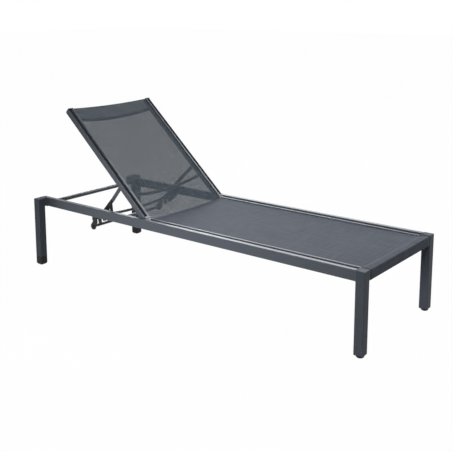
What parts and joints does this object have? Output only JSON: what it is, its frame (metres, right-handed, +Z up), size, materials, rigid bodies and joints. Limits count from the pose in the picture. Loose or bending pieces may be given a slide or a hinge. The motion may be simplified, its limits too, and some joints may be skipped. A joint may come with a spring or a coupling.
{
  "type": "sun lounger",
  "caption": "Low garden bed on square legs with a stretched mesh seat and a hinged mesh backrest that a notched prop holds at several angles.",
  "frame": {"origin": "on the ground under the middle of the bed", "axes": "+X towards the foot end, +Y towards the lying person's left, +Z up"},
  "size_m": [1.9, 0.75, 0.8373],
  "materials": {
    "frame_coat": "fine matte anthracite powder coat",
    "black_metal": "satin black powder coat",
    "black_plastic": "moulded, fine grain",
    "grey_plastic": "moulded in the frame's anthracite",
    "bead_plastic": "smooth extruded rod",
    "bright_steel": "dull zinc plate",
    "seat_mesh": "woven coated mesh",
    "backrest_mesh": "open woven coated mesh"
  },
  "bodies": {
    "bed_frame": {"catch_left": "black_metal", "catch_right": "black_metal", "catch_rivets": "bright_steel", "front_crossbar": "frame_coat", "front_foot_left": "black_plastic", "front_foot_right": "black_plastic", "front_leg_left": "frame_coat", "front_leg_right": "frame_coat", "hinge_bolt_left": "bright_steel", "hinge_bolt_right": "bright_steel", "hinge_nuts": "bright_steel", "hinge_washers": "black_plastic", "rail_plug_left": "black_plastic", "rail_plug_right": "black_plastic", "rear_corner_left": "frame_coat", "rear_corner_right": "frame_coat", "rear_crossbar": "frame_coat", "rear_foot_left": "black_plastic", "rear_foot_right": "black_plastic", "rear_leg_left": "frame_coat", "rear_leg_right": "frame_coat", "seat_bead_rods": "bead_plastic", "seat_sling": "seat_mesh", "seat_spreader_front": "frame_coat", "seat_spreader_rear": "frame_coat", "seat_track_left": "frame_coat", "seat_track_plugs": "black_plastic", "seat_track_right": "frame_coat", "side_rail_left": "frame_coat", "side_rail_right": "frame_coat", "track_rivets": "bright_steel"},
    "backrest": {"backrest_bead_rods": "bead_plastic", "backrest_end_cap_left": "grey_plastic", "backrest_end_cap_right": "grey_plastic", "backrest_lower_bow": "frame_coat", "backrest_sling": "backrest_mesh", "backrest_top_bow": "frame_coat", "backrest_track_left": "frame_coat", "backrest_track_right": "frame_coat", "hinge_shoe_left": "frame_coat", "hinge_shoe_right": "frame_coat", "prop_bolt_left": "bright_steel", "prop_bolt_right": "bright_steel", "prop_nuts": "bright_steel", "prop_spacers": "black_plastic"},
    "prop": {"notched_plate_left": "black_metal", "notched_plate_right": "black_metal", "plate_rivets": "bright_steel", "prop_bow": "frame_coat", "prop_strut_left": "frame_coat", "prop_strut_right": "frame_coat", "prop_tube": "frame_coat", "prop_tube_plugs": "black_plastic"}
  },
  "joints": [
    {"name": "backrest_hinge", "type": "hinge", "parent": "bed_frame", "child": "backrest", "pos_m": [-0.2213, 0, 0.337], "axis": [0, 1, 0], "range_deg": [-40.95, 13]},
    {"name": "prop_hinge", "type": "hinge", "parent": "backrest", "child": "prop", "pos_m": [-0.40231, 0, 0.49467], "axis": [0, 1, 0], "range_deg": [-26, 81.9]}
  ],
  "couplings": [
    {"joint": "prop_hinge", "follows": "backrest_hinge", "ratio": -2}
  ]
}
